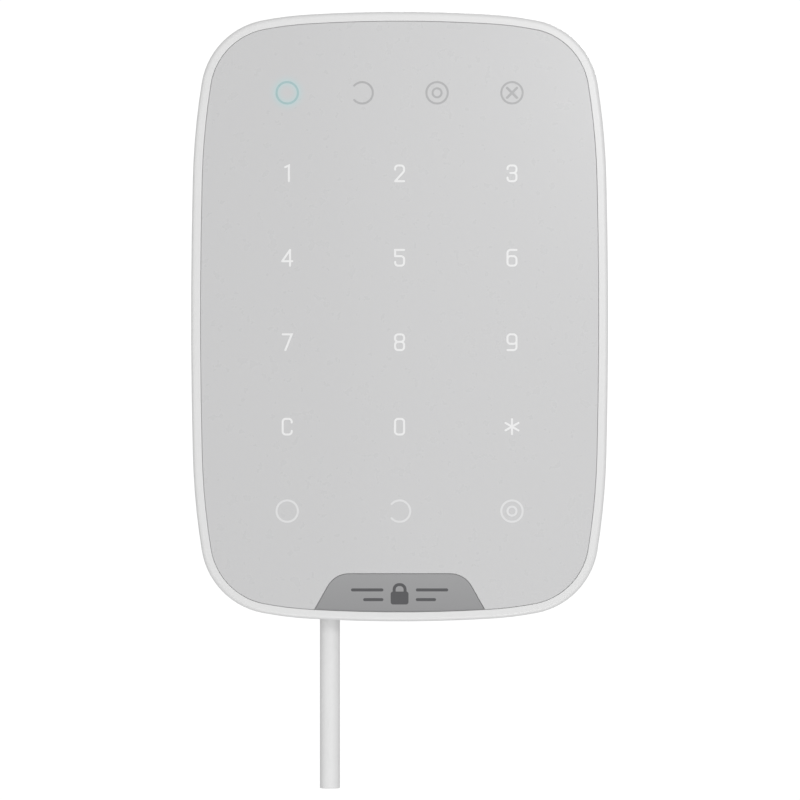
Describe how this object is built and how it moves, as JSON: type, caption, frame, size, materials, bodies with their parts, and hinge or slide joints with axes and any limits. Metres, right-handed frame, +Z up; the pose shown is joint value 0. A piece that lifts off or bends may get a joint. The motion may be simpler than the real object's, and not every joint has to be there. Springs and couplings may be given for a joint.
{
  "type": "alarm keypad panel",
  "caption": "Wired touch keypad for an intruder alarm: slim rounded panel with lit key symbols, a slide-on wall bracket, a tamper plunger and a cable hanging from its lower edge.",
  "frame": {"origin": "centre of the wall bracket's back face, on the wall", "axes": "+Z up, +X to the right as the user faces the keypad, +Y into the wall, so the front of the keypad looks along -Y"},
  "size_m": [0.103, 0.014, 0.1926],
  "materials": {
    "frame_white": "satin",
    "case_white": "fine grain",
    "panel_grey": "smooth satin",
    "legend_white": "printed",
    "symbol_grey": "printed",
    "symbol_lit": "lit from behind",
    "badge_grey": "satin",
    "badge_dark": "printed",
    "film_white": "translucent film",
    "board_white": "solder resist",
    "board_green": "solder resist",
    "electrode_copper": "bright",
    "light_frame_white": "matt",
    "pipe_clear": "clear moulded",
    "led_yellow": "resin",
    "chip_black": "moulded",
    "lead_tin": "tinned",
    "connector_cream": "moulded",
    "capacitor_tan": "ceramic",
    "sounder_black": "moulded",
    "screw_steel": "zinc plated",
    "spring_steel": "bright",
    "contact_tin": "tinned",
    "bracket_white": "fine grain",
    "plunger_grey": "moulded",
    "switch_black": "moulded",
    "terminal_grey": "moulded",
    "button_orange": "moulded",
    "sheath_white": "soft PVC",
    "core_red": "PVC",
    "core_black": "PVC",
    "core_yellow": "PVC",
    "core_green": "PVC",
    "copper": "bright",
    "clamp_white": "moulded",
    "label_white": "paper, blank"
  },
  "bodies": {
    "bracket": {"mounting_bracket": "bracket_white", "locking_screw": "screw_steel"},
    "keypad": {"armed_status_ring": "symbol_lit", "arming_symbols": "legend_white", "badge_mark": "badge_dark", "badge_plate": "badge_grey", "board_connector": "connector_cream", "board_screws": "screw_steel", "bus_chip": "chip_black", "bus_chip_leads": "lead_tin", "cable_clamp": "clamp_white", "cable_sheath": "sheath_white", "capacitors": "capacitor_tan", "case_screws": "screw_steel", "clamp_screws": "screw_steel", "controller_chip": "chip_black", "controller_chip_leads": "lead_tin", "copper_wires": "copper", "core_black": "core_black", "core_green": "core_green", "core_red": "core_red", "core_yellow": "core_yellow", "diffuser_film": "film_white", "front_frame": "frame_white", "front_panel": "panel_grey", "id_label": "label_white", "key_leds": "led_yellow", "key_legends": "legend_white", "key_light_pipes": "pipe_clear", "light_frame": "light_frame_white", "main_board": "board_green", "power_coil": "chip_black", "rear_housing": "case_white", "sensor_board": "board_white", "sounder": "sounder_black", "status_leds": "led_yellow", "status_light_pipes": "pipe_clear", "status_symbols": "symbol_grey", "tamper_spring": "spring_steel", "tamper_switch": "switch_black", "terminal_block": "terminal_grey", "terminal_contacts": "contact_tin", "touch_electrodes": "electrode_copper"},
    "tamper_plunger": {"tamper_plunger": "plunger_grey"},
    "terminal_button_1": {"terminal_button_1": "button_orange"},
    "terminal_button_2": {"terminal_button_2": "button_orange"},
    "terminal_button_3": {"terminal_button_3": "button_orange"},
    "terminal_button_4": {"terminal_button_4": "button_orange"}
  },
  "joints": [
    {"name": "body_slide", "type": "slide", "parent": "bracket", "child": "keypad", "axis": [0, 0, 1], "range_m": [0, 0.008]},
    {"name": "tamper_slide", "type": "slide", "parent": "keypad", "child": "tamper_plunger", "axis": [0, 1, 0], "range_m": [0, 0.0011], "deforming": ["tamper_spring"]},
    {"name": "terminal_button_1_press", "type": "slide", "parent": "keypad", "child": "terminal_button_1", "axis": [0, -1, 0], "range_m": [0, 0.0008], "stiffness_N_per_m": 1000, "springref_m": -0.0004},
    {"name": "terminal_button_2_press", "type": "slide", "parent": "keypad", "child": "terminal_button_2", "axis": [0, -1, 0], "range_m": [0, 0.0008], "stiffness_N_per_m": 1000, "springref_m": -0.0004},
    {"name": "terminal_button_3_press", "type": "slide", "parent": "keypad", "child": "terminal_button_3", "axis": [0, -1, 0], "range_m": [0, 0.0008], "stiffness_N_per_m": 1000, "springref_m": -0.0004},
    {"name": "terminal_button_4_press", "type": "slide", "parent": "keypad", "child": "terminal_button_4", "axis": [0, -1, 0], "range_m": [0, 0.0008], "stiffness_N_per_m": 1000, "springref_m": -0.0004}
  ],
  "couplings": [
    {"joint": "tamper_slide", "follows": "body_slide", "ratio": 0.13125}
  ]
}
